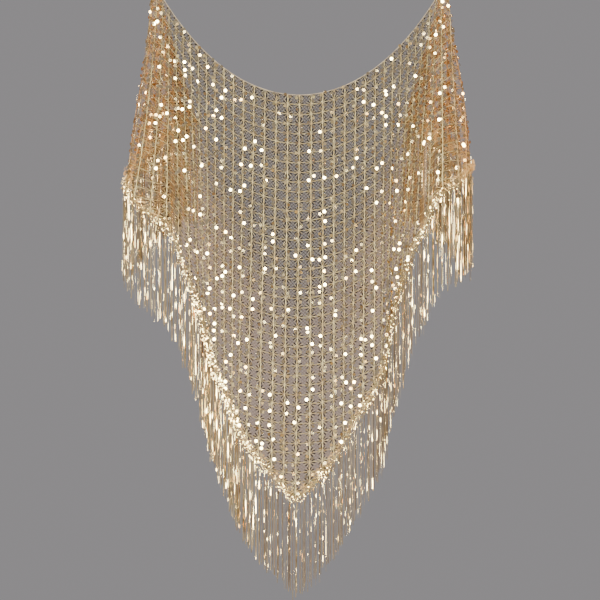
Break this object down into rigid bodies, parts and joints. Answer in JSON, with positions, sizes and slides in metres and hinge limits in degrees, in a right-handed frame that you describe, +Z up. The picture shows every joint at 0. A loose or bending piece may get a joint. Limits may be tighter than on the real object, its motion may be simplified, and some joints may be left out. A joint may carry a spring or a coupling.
{
  "type": "fringed evening shawl",
  "caption": "Triangular shawl of gold sequinned net with a long metallic fringe, hung by two gathered points of its long edge so that both ends fall behind in folds.",
  "frame": {"origin": "midway between the two gathered points of the long edge that hold the shawl up, at their height", "axes": "+Z up, +X to the viewer's right, the front faces -Y and the folded ends hang towards +Y"},
  "size_m": [0.6537, 0.1202, 1.1334],
  "materials": {
    "net": "champagne gold net of metallic thread",
    "sequins": "mirror bright gold sequins",
    "fringe": "flat metallic fringe strands"
  },
  "bodies": {
    "root": {"net": "net", "fringe_left": "fringe", "fringe_right": "fringe"}
  },
  "joints": []
}
